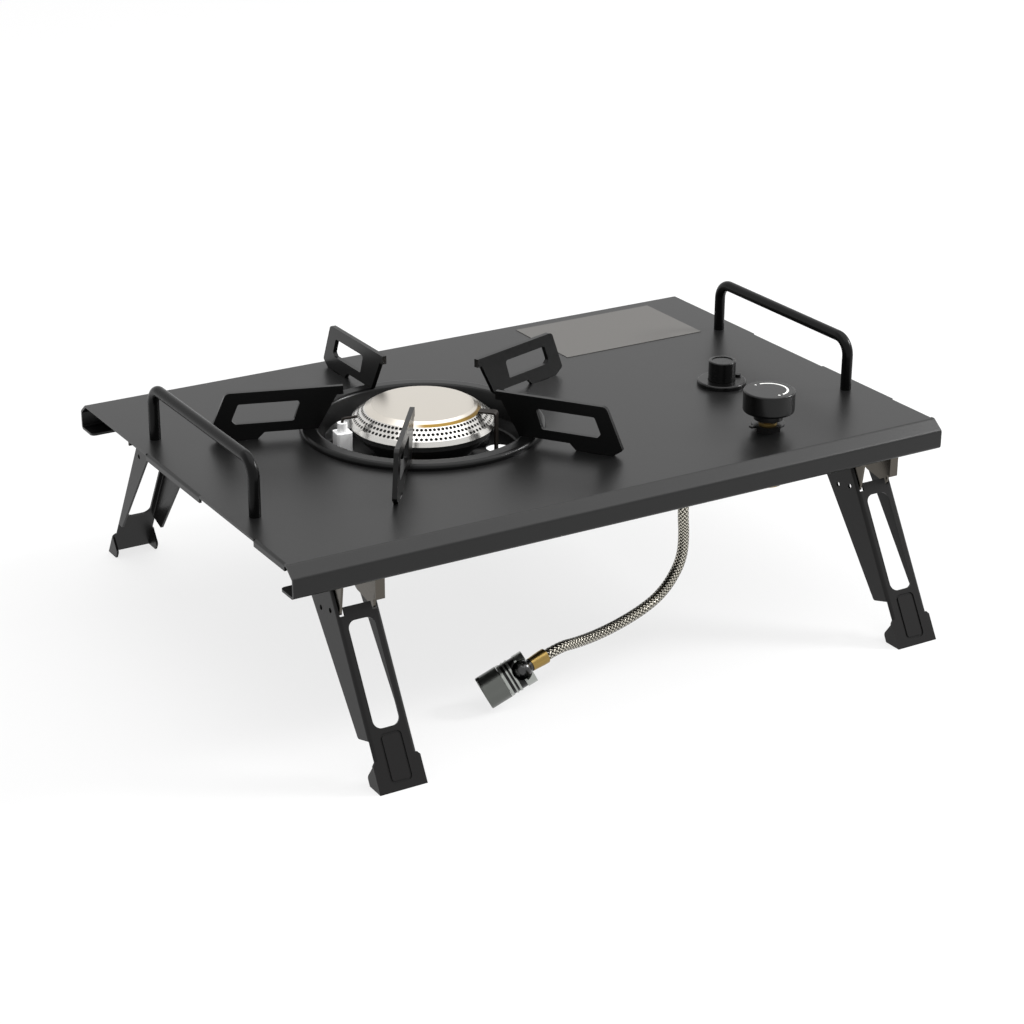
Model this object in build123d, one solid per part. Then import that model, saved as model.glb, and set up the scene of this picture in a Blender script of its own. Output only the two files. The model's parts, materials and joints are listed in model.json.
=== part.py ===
"""Portable gas stove: a folded steel table with one burner, a lift-off pot support, folding legs
and a braided hose.

Millimetres. X runs along the long side, Y to the back, Z up. The origin is on the ground under the
middle of the table plate.
"""

from build123d import *
import math
import os

# Table plate, one folded sheet
plate_length = 460.0
plate_depth = 310.0
plate_top = 128.5
plate_sheet = 1.5
edge_drop = 18.5
edge_face = 12.4
edge_bevel = 8.0
edge_lip = 17.0
lip_corner_radius = 3.0
bend_radius = 2.5
strip_drop = 4.5
strip_bend_radius = 1.7
strip_front_reach = 31.0
strip_back_reach = 48.0
strip_front_start = 105.0

# Rod handles
handle_rod_radius = 3.6
handle_rise = 34.0
handle_half_span = 72.0
handle_bend_radius = 11.0
handle_inset = 15.4
handle_setback = -3.0
screw_radius = 2.0
screw_reach = 10.0
screw_head_radius = 4.5
screw_head_height = 2.5
screw_slot_width = 1.2
screw_slot_depth = 1.0

# Burner place, from the left-hand edge and the middle of the plate
burner_inset_x = 170.5
burner_y = 5.3

# Pot support: a dished ring and five upright claws
ring_outer_radius = 78.0
ring_land_width = 10.5
ring_throat_run = 4.5
ring_hole_gap = 3.0
ring_rise = 4.0
ring_throat_drop = 8.5
ring_sheet = 1.5
ring_bend_radius = 2.6
claw_count = 5
claw_first_angle = 90.0
claw_sheet = 3.0
claw_rise = 31.2
claw_nose_reach = 16.5
claw_nose_depth = 5.5
claw_hook_length = 4.0
claw_throat_inset = 0.5
claw_heel_inset = 1.5
claw_window_margin = 3.0
claw_tip_run = 11.5
claw_tip_rise = 4.5
claw_toe_run = 6.5
claw_foot_half_length = 12.0
claw_undercut_run = 4.5
claw_undercut_rise = 4.3
claw_corner_radius = 4.0
claw_window_web = 10.5
claw_window_outer_radius = 121.0
claw_window_bottom = 10.6
claw_window_top = 23.6
claw_window_slant = 4.5
claw_window_step = 2.4
claw_window_corner_radius = 1.6
claw_tab_length = 9.0
claw_tab_depth = 4.0
tab_clearance = 0.4

# Drip pan under the plate
pan_sheet = 1.0
pan_rim_width = 6.0
pan_wall_gap = 1.5
pan_wall_run = 10.0
pan_depth = 17.5
pan_air_hole_radius = 8.0
pan_air_hole_run = 8.4
pan_air_hole_angle = -22.0

# Burner
burner_neck_radius = 14.0
burner_neck_drop = 41.0
burner_wall = 2.5
burner_flange_inset = 14.5
burner_flange_height = 2.5
burner_bowl_inset = 1.0
burner_bowl_rise = 3.0
burner_bowl_lip = 3.5
burner_ear_run = 9.0
burner_ear_radius = 5.0
burner_screw_count = 3
burner_screw_first_angle = -127.0
burner_screw_radius = 1.5
burner_screw_head_radius = 2.8
burner_screw_head_height = 1.8
skirt_sheet = 1.0
skirt_air_gap = 16.5
skirt_band_height = 3.0
skirt_band_flare = 1.6
skirt_cone_run = 8.0
skirt_height = 9.5
skirt_hole_radius = 1.25
skirt_hole_count = 36
skirt_row_shares = (0.22, 0.5, 0.78)
cap_sheet = 1.2
cap_rim_run = 4.4
cap_bevel_height = 2.5
cap_dome = 0.6
strap_angle = -45.0
strap_width = 7.0
strap_sheet = 1.0
strap_gap = 2.0
strap_hook_reach = 11.5
strap_clearance = 0.6

# Spark electrode in its ceramic
electrode_gap = 7.8
electrode_angle = 174.0
ceramic_width = 10.5
ceramic_height = 22.0
ceramic_corner_radius = 2.0
ceramic_tip_radius = 3.2
ceramic_tip_height = 6.0
electrode_radius = 0.9
electrode_rise = 2.5
electrode_reach = 10.0
electrode_seat = 5.0

# Gas valve and its knob, placed from the right-hand front corner of the plate
valve_inset_x = 104.6
valve_inset_y = 45.2
valve_radius = 11.0
valve_drop = 35.5
valve_neck_radius = 6.0
valve_neck_rise = 5.5
valve_hole_clearance = 0.5
valve_outlet_radius = 6.2
valve_outlet_reach = 20.0
valve_outlet_drop = 29.0
valve_inlet_radius = 6.0
valve_inlet_reach = 18.0
valve_inlet_drop = 11.5
valve_washer_radius = 10.5
valve_washer_height = 1.2
valve_washer_lug_reach = 3.0
valve_nut_across_flats = 15.0
valve_nut_height = 3.4
stem_radius = 3.0
stem_rise = 22.0
stem_seat = 14.0
knob_radius = 16.4
knob_height = 14.2
knob_edge_radius = 1.0
knob_foot_radius = 1.8
knob_neck_radius = 9.2
knob_neck_rise = 7.5
knob_neck_height = 5.0
knob_bore_roof = 3.0
jet_radius = 4.0
jet_length = 12.0
jet_tip_radius = 2.2
jet_tip_length = 4.0
jet_bore_radius = 0.6
jet_bore_depth = 8.0
jet_seat = 5.0

# Mixing tube between jet and burner
tube_radius = 9.0
tube_wall = 1.2
tube_throat_radius = 7.0
tube_mouth_radius = 13.0
tube_mouth_place = 30.0
tube_mouth_length = 14.0
tube_throat_length = 12.0
tube_flare_length = 30.0

# Piezo igniter, placed from the right-hand front corner of the plate
igniter_inset_x = 80.3
igniter_inset_y = 129.5
igniter_flange_radius = 16.3
igniter_flange_height = 3.2
igniter_flange_edge_radius = 1.2
igniter_lug_radius = 2.0
igniter_lug_place = 13.0
igniter_lug_height = 1.4
igniter_case_radius = 11.0
igniter_case_drop = 36.0
igniter_case_clearance = 0.3
igniter_pocket_depth = 8.0
igniter_nut_across_flats = 27.0
igniter_nut_height = 4.0
igniter_terminal_radius = 2.0
igniter_terminal_length = 7.0
button_radius = 9.0
button_clearance = 0.3
button_rise = 16.6
button_foot_drop = 2.0
button_edge_radius = 0.8
button_dish_radius = 7.0
button_dish_depth = 0.5
button_stem_radius = 3.0
button_stem_length = 8.0

# Folding legs: pressed channels on pins under the plate
leg_inset = 44.6
leg_sheet = 1.5
leg_splay = 30.0
leg_width = 27.0
leg_bend_radius = 2.2
hinge_drop = 27.0
hinge_inset = 27.2
hinge_depth = 10.0
web_top_gap = 15.0
web_notch_width = 3.2
web_notch_depth = 5.0
slot_width = 17.0
slot_top_gap = 8.5
slot_bottom = 36.5
slot_corner_radius = 5.0
pad_width = 14.0
pad_bottom = 4.5
pad_top = 33.5
pad_groove_width = 1.4
pad_groove_depth = 0.7
pad_corner_radius = 3.0
flange_bottom = 31.0
flange_bottom_depths = (14.5, 7.0)
flange_bottom_rise = 3.0
flange_top_depths = (29.5, 20.0)
flange_top_gap = 8.0
flange_corner_radius = 2.0
flange_hole_radius = 1.6
flange_hole_depths = (7.5, 19.0)
flange_hole_gaps = (14.8, 11.3)
foot_width = 30.4
foot_height = 19.0
foot_shoulder = 2.0
foot_ear_depth = 11.0
foot_ear_slope = 5.0
foot_ear_corner_radius = 3.0
pin_radius = 2.0
pin_head_radius = 3.6
pin_head_height = 1.2
pin_head_gap = 0.3

# Leg brackets, nickel-plated
bracket_sheet = 1.5
bracket_gap = 0.5
bracket_front_inset = 5.0
bracket_cheek_inset = 10.0
bracket_tip_drop = 39.0
bracket_boss_radius = 9.0
bracket_back_inset = 47.0
bracket_foot_length = 12.0
bracket_tab_reach = 4.6
bracket_tab_drop = 33.5
bracket_slope_run = 3.0

# Running clearance of pins, stems and screws in their holes
running_clearance = 0.05

# Hose, from the ferrule under the plate to the ferrule of the connector. Its start is placed from the
# right-hand front corner of the plate, and its route is given from its start.
hose_radius = 3.5
hose_inset_x = 167.0
hose_inset_y = 46.0
hose_drop = 33.5
hose_runs = [
    (0.0, 0.0, 0.0),
    (0.0, 0.0, -12.5),
    (0.9, -0.6, -25.8),
    (-2.0, -3.2, -40.3),
    (-11.8, -5.7, -52.8),
    (-24.4, -9.0, -60.5),
    (-41.7, -13.6, -64.6),
    (-61.4, -18.9, -66.6),
    (-79.9, -24.0, -66.8),
    (-96.2, -27.9, -66.0),
    (-108.0, -29.0, -65.2),
    (-119.1, -29.9, -68.2),
]
arc_run_share = 0.45

# Hose ends and canister connector
ferrule_radius = 4.7
ferrule_tip_radius = 4.1
ferrule_length = 11.5
ferrule_taper_share = 0.25
inlet_pipe_radius = 4.0
inlet_pipe_bore_radius = 2.5
inlet_bend_radius = 7.5
swivel_reach = 18.0
swivel_radius = 6.0
swivel_neck_radius = 3.6
connector_heading = 165.6
connector_lean = 117.8
connector_roll = 121.0
connector_radius = 10.4
connector_back = 5.0
connector_front = 12.7
connector_mouth_radius = 7.6
connector_groove_depth = 0.5
connector_recess_depth = 0.6
connector_groove_shares = ((0.8, 0.9), (0.66, 0.74))
connector_recess_shares = (0.36, 0.58)
connector_window_width = 14.0
connector_window_length = 12.0
connector_window_share = 0.3
connector_spigot_radius = 7.5
connector_spigot_length = 3.0
collar_radius = 10.5
collar_length = 14.0
collar_gap = 0.3
collar_bore_radius = 5.4
collar_edge_radius = 0.8
collar_notch_width = 3.0
collar_notch_depth = 2.5
collar_notch_turn = 65.0
seal_radius = 7.2
seal_bore_radius = 3.0
seal_length = 1.5

# How far cutting tools run past what they cut
overrun = 2.0

plate_under = plate_top - plate_sheet
lip_level = plate_top - edge_drop
half_length = plate_length / 2
half_depth = plate_depth / 2
burner_x = burner_inset_x - half_length
ring_land_inner_radius = ring_outer_radius - ring_land_width
ring_throat_radius = ring_land_inner_radius - ring_throat_run
burner_hole_radius = ring_land_inner_radius + ring_hole_gap
claw_throat_radius = ring_land_inner_radius - claw_throat_inset
claw_nose_radius = claw_throat_radius - claw_nose_reach
claw_heel_radius = ring_outer_radius - claw_heel_inset
claw_window_inner_radius = claw_throat_radius + claw_window_web
claw_tip_top_radius = claw_window_outer_radius + claw_window_margin
claw_tip_radius = claw_tip_top_radius + claw_tip_run
claw_foot_outer_radius = claw_tip_radius - claw_toe_run
claw_tab_radius = claw_foot_outer_radius - claw_foot_half_length
claw_foot_inner_radius = claw_tab_radius - claw_foot_half_length
claw_undercut_radius = claw_foot_inner_radius - claw_undercut_run
pan_wall_radius = burner_hole_radius + pan_wall_gap
pan_rim_radius = pan_wall_radius + pan_rim_width
pan_floor_radius = pan_wall_radius - pan_wall_run
skirt_band_radius = ring_throat_radius - skirt_air_gap
skirt_cone_radius = skirt_band_radius - skirt_band_flare
skirt_top_radius = skirt_cone_radius - skirt_cone_run
cap_disc_radius = skirt_top_radius - cap_rim_run
burner_bowl_radius = skirt_band_radius - burner_bowl_inset
burner_flange_radius = burner_bowl_radius - burner_flange_inset
burner_ear_offset = burner_flange_radius + burner_ear_run
pan_air_hole_offset = burner_ear_offset + pan_air_hole_run
strap_offset = skirt_band_radius + strap_gap
electrode_offset = skirt_band_radius + electrode_gap
pan_floor = plate_top - pan_depth
bowl_top = plate_top + burner_bowl_rise
skirt_base = bowl_top
cap_seat = skirt_base + skirt_height
valve_x = half_length - valve_inset_x
valve_y = valve_inset_y - half_depth
igniter_x = half_length - igniter_inset_x
igniter_y = igniter_inset_y - half_depth
leg_x = half_length - leg_inset
hinge_level = plate_top - hinge_drop
hinge_y = half_depth - hinge_inset
splay = math.radians(leg_splay)
hinge_along = (hinge_level + hinge_depth * math.sin(splay)) / math.cos(splay)
foot_y = hinge_y + hinge_along * math.sin(splay) + hinge_depth * math.cos(splay)
web_top = hinge_along - web_top_gap
hose_start = (half_length - hose_inset_x, hose_inset_y - half_depth, plate_top - hose_drop)
hose_route = [tuple(first + run for first, run in zip(hose_start, runs)) for runs in hose_runs]
burner_place = Pos(burner_x, burner_y, 0)


def block(low, high):
    """Box between its lowest and its highest corner."""
    size = Vector(*high) - Vector(*low)
    return Pos(*low) * Box(size.X, size.Y, size.Z, align=Align.MIN)


def rod(start, end, radius):
    """Round bar between two points."""
    axis = Vector(*end) - Vector(*start)
    return extrude(Plane(start, z_dir=axis) * Circle(radius), axis.length)


def turned(points):
    """Solid turned about Z from a closed outline of (radius, height) points."""
    return revolve(Plane.XZ * make_face(Polyline(*points, close=True)), Axis.Z)


def sheet_section(points, sheet, radius, side):
    """Section of a bent sheet that lies on one side of a line of points."""
    return make_face(FilletPolyline(*points, radius=radius).offset_2d(sheet, side=side))


def polar(radius, angle, height=0):
    """Point at a radius and an angle in degrees."""
    turn = math.radians(angle)
    return (radius * math.cos(turn), radius * math.sin(turn), height)


def hexagon(across_flats, height):
    """Six-sided bar standing on the XY plane."""
    return extrude(RegularPolygon(across_flats / 2, 6, major_radius=False), height)


def claw_angles():
    """Directions of the claws around the burner."""
    return [claw_first_angle + index * 360 / claw_count for index in range(claw_count)]


def handle_points(side):
    """Corner points of one handle's rod, from its front end to its back end."""
    x = side * (half_length - handle_inset)
    front = handle_setback - handle_half_span
    back = handle_setback + handle_half_span
    top = plate_top + handle_rise
    return [(x, front, plate_top), (x, front, top), (x, back, top), (x, back, plate_top)]


def side_strip(side, y_low, y_high):
    """Short edge of the plate turned down, between two depths."""
    edge = side * half_length
    start = edge - side * (strip_bend_radius + plate_sheet)
    line = [(start, plate_top), (edge, plate_top), (edge, plate_top - strip_drop)]
    inward = Side.RIGHT if side > 0 else Side.LEFT
    face = Plane.XZ * sheet_section(line, plate_sheet, strip_bend_radius, inward)
    return Pos(0, y_high, 0) * extrude(face, y_high - y_low)


def table_plate():
    """Top sheet with folded front and back edges, part-turned short edges and its openings."""
    line = [
        (edge_lip - half_depth, lip_level),
        (-half_depth, lip_level),
        (-half_depth, lip_level + edge_face),
        (edge_bevel - half_depth, plate_top),
        (half_depth - edge_bevel, plate_top),
        (half_depth, lip_level + edge_face),
        (half_depth, lip_level),
        (half_depth - edge_lip, lip_level),
    ]
    section = Plane.YZ * sheet_section(line, plate_sheet, bend_radius, Side.RIGHT)
    plate = Pos(-half_length, 0, 0) * extrude(section, plate_length)
    lip_corners = plate.edges().filter_by(Axis.Z).filter_by(
        lambda edge: abs(edge.center().Z - lip_level) < plate_sheet
    )
    plate = fillet(lip_corners, lip_corner_radius)
    for side in (-1, 1):
        bend = strip_bend_radius + plate_sheet
        spans = [
            (edge_bevel + bend_radius - half_depth, -strip_front_start),
            (-strip_front_reach, strip_back_reach),
        ]
        for y_low, y_high in spans:
            low_x = min(side * half_length, side * (half_length - bend))
            room = block((low_x, y_low, plate_under), (low_x + bend, y_high, plate_top))
            plate -= room
            plate += side_strip(side, y_low, y_high)
    middle = (plate_top + plate_under) / 2
    through = plate_sheet + overrun
    plate -= Pos(burner_x, burner_y, middle) * Cylinder(burner_hole_radius, through)
    valve_hole = valve_neck_radius + valve_hole_clearance
    plate -= Pos(valve_x, valve_y, middle) * Cylinder(valve_hole, through)
    case_hole = igniter_case_radius + igniter_case_clearance
    plate -= Pos(igniter_x, igniter_y, middle) * Cylinder(case_hole, through)
    for side in (-1, 1):
        for x, y, z in handle_points(side)[::3]:
            plate -= Pos(x, y, middle) * Cylinder(screw_radius + running_clearance, through)
    for angle in claw_angles():
        slot = Box(claw_tab_length + 2 * tab_clearance, claw_sheet + 2 * tab_clearance, through)
        plate -= burner_place * Pos(*polar(claw_tab_radius, angle, middle)) * Rot(0, 0, angle) * slot
    return plate


def handle(side):
    """Bent rod handle, drilled at both ends for its screws."""
    points = handle_points(side)
    path = FilletPolyline(*points, radius=handle_bend_radius)
    bar = sweep(Plane(points[0], z_dir=(0, 0, 1)) * Circle(handle_rod_radius), path)
    for x, y, z in points[::3]:
        depth = screw_reach + running_clearance
        bar -= rod((x, y, z), (x, y, z + depth), screw_radius + running_clearance)
    return bar


def handle_screws():
    """Four slotted screws that hold the handles from below."""
    screws = []
    for side in (-1, 1):
        for x, y, z in handle_points(side)[::3]:
            head_low = plate_under - screw_head_height
            screw = rod((x, y, head_low), (x, y, plate_under), screw_head_radius)
            screw += rod((x, y, plate_under), (x, y, z + screw_reach), screw_radius)
            groove = Box(2 * screw_head_radius, screw_slot_width, 2 * screw_slot_depth)
            screws.append(screw - Pos(x, y, head_low) * groove)
    return screws


def support_ring():
    """Dished ring that carries the claws and shields the drip pan."""
    line = [
        (ring_outer_radius, plate_top),
        (ring_outer_radius, plate_top + ring_rise),
        (ring_land_inner_radius, plate_top + ring_rise),
        (ring_throat_radius, plate_top - ring_throat_drop),
    ]
    section = Plane.XZ * sheet_section(line, ring_sheet, ring_bend_radius, Side.LEFT)
    return burner_place * revolve(section, Axis.Z)


def claw(angle):
    """Upright claw with a window, cut to sit on the ring and in its slot of the plate."""
    land = ring_rise
    outline = FilletPolyline(
        (claw_nose_radius, claw_rise),
        (claw_tip_top_radius, claw_rise),
        (claw_tip_radius, claw_tip_rise),
        (claw_foot_outer_radius, 0),
        (claw_foot_inner_radius, 0),
        (claw_undercut_radius, claw_undercut_rise),
        (claw_heel_radius, claw_undercut_rise),
        (claw_heel_radius, land),
        (claw_throat_radius, land),
        (claw_nose_radius + claw_hook_length, claw_rise - claw_nose_depth),
        (claw_nose_radius, claw_rise - claw_nose_depth),
        radius=[0, claw_corner_radius, claw_window_corner_radius, 0, 0, 0, 0, 0, 0, 0, 0],
        close=True,
    )
    window = FilletPolyline(
        (claw_window_inner_radius, claw_window_top),
        (claw_window_outer_radius - claw_window_slant, claw_window_top),
        (claw_window_outer_radius, claw_window_bottom + claw_window_step),
        (claw_window_outer_radius - claw_window_step, claw_window_bottom),
        (claw_window_inner_radius + claw_window_slant, claw_window_bottom),
        radius=claw_window_corner_radius,
        close=True,
    )
    half_tab = claw_tab_length / 2
    tab = Pos(claw_tab_radius, -claw_tab_depth / 2, 0) * Rectangle(2 * half_tab, claw_tab_depth)
    face = make_face(outline) - make_face(window) + tab
    plate = extrude(Plane.XZ * face, claw_sheet / 2, both=True)
    return burner_place * Pos(0, 0, plate_top) * Rot(0, 0, angle) * plate


def drip_pan():
    """Dish hung under the plate, with a hole for the burner's neck and one for air."""
    rim_top = plate_under
    line = [
        (pan_rim_radius, rim_top),
        (pan_wall_radius, rim_top),
        (pan_floor_radius, pan_floor),
        (burner_neck_radius + running_clearance, pan_floor),
    ]
    section = Plane.XZ * sheet_section(line, pan_sheet, bend_radius, Side.LEFT)
    pan = revolve(section, Axis.Z)
    hole = Cylinder(pan_air_hole_radius, pan_sheet * 2 + overrun)
    pan -= Pos(*polar(pan_air_hole_offset, pan_air_hole_angle, pan_floor)) * hole
    for angle in burner_screw_angles():
        hole = Cylinder(burner_screw_radius + running_clearance, pan_sheet * 2 + overrun)
        pan -= Pos(*polar(burner_ear_offset, angle, pan_floor)) * hole
    return burner_place * pan


def burner_screw_angles():
    """Directions of the screws that hold the burner."""
    step = 360 / burner_screw_count
    return [burner_screw_first_angle + index * step for index in range(burner_screw_count)]


def burner_base():
    """Cast bowl with a closed neck below the pan and three screw ears on it."""
    neck_low = plate_top - burner_neck_drop
    flange_top = pan_floor + burner_flange_height
    bore = burner_neck_radius - burner_wall
    base = turned([
        (0, neck_low),
        (burner_neck_radius, neck_low),
        (burner_neck_radius, pan_floor),
        (burner_flange_radius, pan_floor),
        (burner_flange_radius, flange_top),
        (burner_bowl_radius, bowl_top - burner_bowl_lip),
        (burner_bowl_radius, bowl_top),
        (burner_bowl_radius - burner_wall, bowl_top),
        (burner_bowl_radius - burner_wall, bowl_top - burner_bowl_lip),
        (bore, flange_top),
        (bore, neck_low + burner_wall),
        (0, neck_low + burner_wall),
    ])
    for angle in burner_screw_angles():
        reach = burner_ear_offset - burner_flange_radius / 2
        arm = Pos(burner_ear_offset - reach / 2, 0, 0) * Rectangle(reach, 2 * burner_ear_radius)
        ear = arm + Pos(burner_ear_offset, 0, 0) * Circle(burner_ear_radius)
        ear -= Pos(burner_ear_offset, 0, 0) * Circle(burner_screw_radius + running_clearance)
        ear -= Circle(burner_flange_radius - burner_wall)
        base += Pos(0, 0, pan_floor) * Rot(0, 0, angle) * extrude(ear, burner_flange_height)
    turn = math.degrees(math.atan2(valve_y - burner_y, valve_x - burner_x))
    level = plate_top - valve_outlet_drop
    port = rod((0, 0, level), polar(burner_neck_radius + overrun, turn, level), tube_radius - tube_wall)
    return burner_place * (base - port)


def burner_screws():
    """Screws through the ears of the burner and the pan."""
    screws = []
    low = pan_floor - pan_sheet
    high = pan_floor + burner_flange_height
    for angle in burner_screw_angles():
        foot = polar(burner_ear_offset, angle, low)
        seat = polar(burner_ear_offset, angle, high)
        top = polar(burner_ear_offset, angle, high + burner_screw_head_height)
        screw = rod(foot, seat, burner_screw_radius) + rod(seat, top, burner_screw_head_radius)
        groove = Box(2 * burner_screw_head_radius, screw_slot_width, 2 * screw_slot_depth)
        screw -= Pos(*top) * Rot(0, 0, angle) * groove
        screws.append(burner_place * screw)
    return screws


def burner_skirt():
    """Perforated cone with a plain flared band at its foot."""
    band_top = skirt_base + skirt_band_height
    line = [
        (skirt_band_radius, skirt_base),
        (skirt_cone_radius, band_top),
        (skirt_top_radius, cap_seat),
    ]
    section = make_face(Polyline(*line).offset_2d(skirt_sheet, side=Side.LEFT))
    skirt = revolve(Plane.XZ * section, Axis.Z)
    skirt -= rod((0, 0, pan_floor), (0, 0, skirt_base), skirt_band_radius + overrun)
    lean = math.atan2(skirt_cone_radius - skirt_top_radius, cap_seat - band_top)
    tools = []
    for row, share in enumerate(skirt_row_shares):
        radius = skirt_cone_radius + share * (skirt_top_radius - skirt_cone_radius)
        height = band_top + share * (cap_seat - band_top)
        for index in range(skirt_hole_count):
            angle = (index + row / 2) * 360 / skirt_hole_count
            outward = polar(math.cos(lean), angle, math.sin(lean))
            spot = Plane(polar(radius, angle, height), z_dir=outward)
            tools.append(extrude(spot * RegularPolygon(skirt_hole_radius, 6), overrun, both=True))
    return burner_place * (skirt - tools)


def burner_cap():
    """Slightly domed disc with a bevelled rim that closes the burner."""
    disc_level = cap_seat + cap_bevel_height
    crown_level = disc_level + cap_dome
    section = Polyline(
        (0, crown_level),
        (0, crown_level - cap_sheet),
        (cap_disc_radius - cap_sheet, disc_level - cap_sheet),
        (skirt_top_radius - cap_sheet, cap_seat),
        (skirt_top_radius, cap_seat),
        (cap_disc_radius, disc_level),
    )
    crown = Bezier((cap_disc_radius, disc_level), (cap_disc_radius / 2, crown_level), (0, crown_level))
    face = make_face(section.edges() + crown.edges())
    return burner_place * revolve(Plane.XZ * face, Axis.Z)


def burner_strap():
    """Bent strip that stands on the pan and reaches over the rim of the cap."""
    top = cap_seat + strap_clearance + strap_sheet
    line = [
        (strap_offset, pan_floor),
        (strap_offset, top),
        (strap_offset - strap_hook_reach, top),
    ]
    section = sheet_section(line, strap_sheet, strap_sheet * 2, Side.LEFT)
    strip = extrude(Plane.XZ * section, strap_width / 2, both=True)
    return burner_place * Rot(0, 0, strap_angle) * strip


def electrode_ceramic():
    """White insulator block with a round tip, standing on the pan."""
    block_top = pan_floor + ceramic_height
    foot = RectangleRounded(ceramic_width, ceramic_width, ceramic_corner_radius)
    body = Pos(0, 0, pan_floor) * extrude(foot, ceramic_height)
    body += rod((0, 0, block_top), (0, 0, block_top + ceramic_tip_height), ceramic_tip_radius)
    seat_low = block_top + ceramic_tip_height - electrode_seat
    bore = electrode_radius + running_clearance
    body -= rod((0, 0, seat_low), (0, 0, block_top + ceramic_tip_height + overrun), bore)
    return electrode_location() * body


def electrode_location():
    """Place of the spark electrode beside the burner, facing its axis."""
    return burner_place * Rot(0, 0, electrode_angle) * Pos(electrode_offset, 0, 0)


def electrode_wire():
    """Bent wire from the insulator towards the skirt."""
    tip = pan_floor + ceramic_height + ceramic_tip_height
    points = [(0, 0, tip - electrode_seat), (0, 0, tip + electrode_rise),
              (-electrode_reach, 0, tip + electrode_rise)]
    path = FilletPolyline(*points, radius=2 * electrode_radius)
    wire = sweep(Plane(points[0], z_dir=(0, 0, 1)) * Circle(electrode_radius), path)
    return electrode_location() * wire


def valve_location():
    """Axis of the gas valve, at ground level."""
    return Pos(valve_x, valve_y, 0)


def outlet_turn():
    """Direction from the valve to the burner, in degrees."""
    return math.degrees(math.atan2(burner_y - valve_y, burner_x - valve_x))


def inlet_turn():
    """Direction from the valve to the start of the hose, in degrees."""
    return math.degrees(math.atan2(hose_route[0][1] - valve_y, hose_route[0][0] - valve_x))


def valve_body():
    """Brass valve under the plate with its neck, outlet and inlet."""
    low = plate_top - valve_drop
    neck_top = plate_top + valve_neck_rise
    body = rod((0, 0, low), (0, 0, plate_under), valve_radius)
    body += rod((0, 0, plate_under), (0, 0, neck_top), valve_neck_radius)
    outlet = plate_top - valve_outlet_drop
    body += rod((0, 0, outlet), polar(valve_outlet_reach, outlet_turn(), outlet), valve_outlet_radius)
    inlet = plate_top - valve_inlet_drop
    body += rod((0, 0, inlet), polar(valve_inlet_reach, inlet_turn(), inlet), valve_inlet_radius)
    stem_low = plate_top - stem_seat - running_clearance
    body -= rod((0, 0, stem_low), (0, 0, neck_top + overrun), stem_radius + running_clearance)
    seat = polar(valve_outlet_reach - jet_seat, outlet_turn(), outlet)
    mouth = polar(valve_outlet_reach + overrun, outlet_turn(), outlet)
    body -= rod(seat, mouth, jet_radius + running_clearance)
    return valve_location() * body


def valve_washer():
    """Black washer with one lug on the nut around the valve's neck."""
    bore = valve_neck_radius + running_clearance
    face = Circle(valve_washer_radius)
    lug = Rectangle(2 * valve_washer_lug_reach, valve_washer_lug_reach)
    face += Pos(-valve_washer_radius, 0) * lug
    face -= Circle(bore)
    level = plate_top + valve_nut_height
    return valve_location() * Pos(0, 0, level) * extrude(face, valve_washer_height)


def valve_nut():
    """Black nut on the plate around the valve's neck."""
    bore = valve_neck_radius + running_clearance
    nut = hexagon(valve_nut_across_flats, valve_nut_height)
    nut -= rod((0, 0, -overrun), (0, 0, valve_nut_height + overrun), bore)
    return valve_location() * Pos(0, 0, plate_top) * nut


def valve_stem():
    """Turning spindle between the valve and the knob."""
    low = plate_top - stem_seat
    return valve_location() * rod((0, 0, low), (0, 0, plate_top + stem_rise), stem_radius)


def control_knob():
    """Round knob on a narrow neck, bored for the stem."""
    neck_low = plate_top + knob_neck_rise
    body_low = neck_low + knob_neck_height
    top = body_low + knob_height
    body = rod((0, 0, body_low), (0, 0, top), knob_radius)
    body = fillet(body.edges().sort_by(Axis.Z)[-1], knob_edge_radius)
    body = fillet(body.edges().sort_by(Axis.Z)[0], knob_foot_radius)
    body += rod((0, 0, neck_low), (0, 0, body_low), knob_neck_radius)
    bore_top = top - knob_bore_roof
    body -= rod((0, 0, neck_low - overrun), (0, 0, bore_top), stem_radius + running_clearance)
    return valve_location() * body


def gas_jet():
    """Brass nozzle in the valve's outlet."""
    level = plate_top - valve_outlet_drop
    start = valve_outlet_reach - jet_seat
    shoulder = start + jet_length
    tip = shoulder + jet_tip_length
    nozzle = turned([
        (0, start), (jet_radius, start), (jet_radius, shoulder), (jet_tip_radius, tip), (0, tip),
    ])
    nozzle -= rod((0, 0, tip - jet_bore_depth), (0, 0, tip + overrun), jet_bore_radius)
    along = Plane((0, 0, level), z_dir=polar(1, outlet_turn()))
    return valve_location() * along.location * nozzle


def mixing_tube():
    """Venturi tube from its open mouth at the jet to the burner's neck."""
    level = plate_top - valve_outlet_drop
    end = math.hypot(burner_x - valve_x, burner_y - valve_y)
    mouth_end = tube_mouth_place + tube_mouth_length
    throat_end = mouth_end + tube_throat_length
    flare_end = throat_end + tube_flare_length
    outer = [
        (tube_mouth_radius, tube_mouth_place),
        (tube_throat_radius, mouth_end),
        (tube_throat_radius, throat_end),
        (tube_radius, flare_end),
        (tube_radius, end),
    ]
    inner = [(radius - tube_wall, place) for radius, place in reversed(outer)]
    along = Plane((0, 0, level), z_dir=polar(1, outlet_turn()))
    tube = valve_location() * along.location * turned(outer + inner)
    neck = Cylinder(burner_neck_radius, plate_top)
    return tube - Pos(burner_x, burner_y, level) * neck


def igniter_location():
    """Axis of the igniter, at ground level."""
    return Pos(igniter_x, igniter_y, 0)


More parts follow.
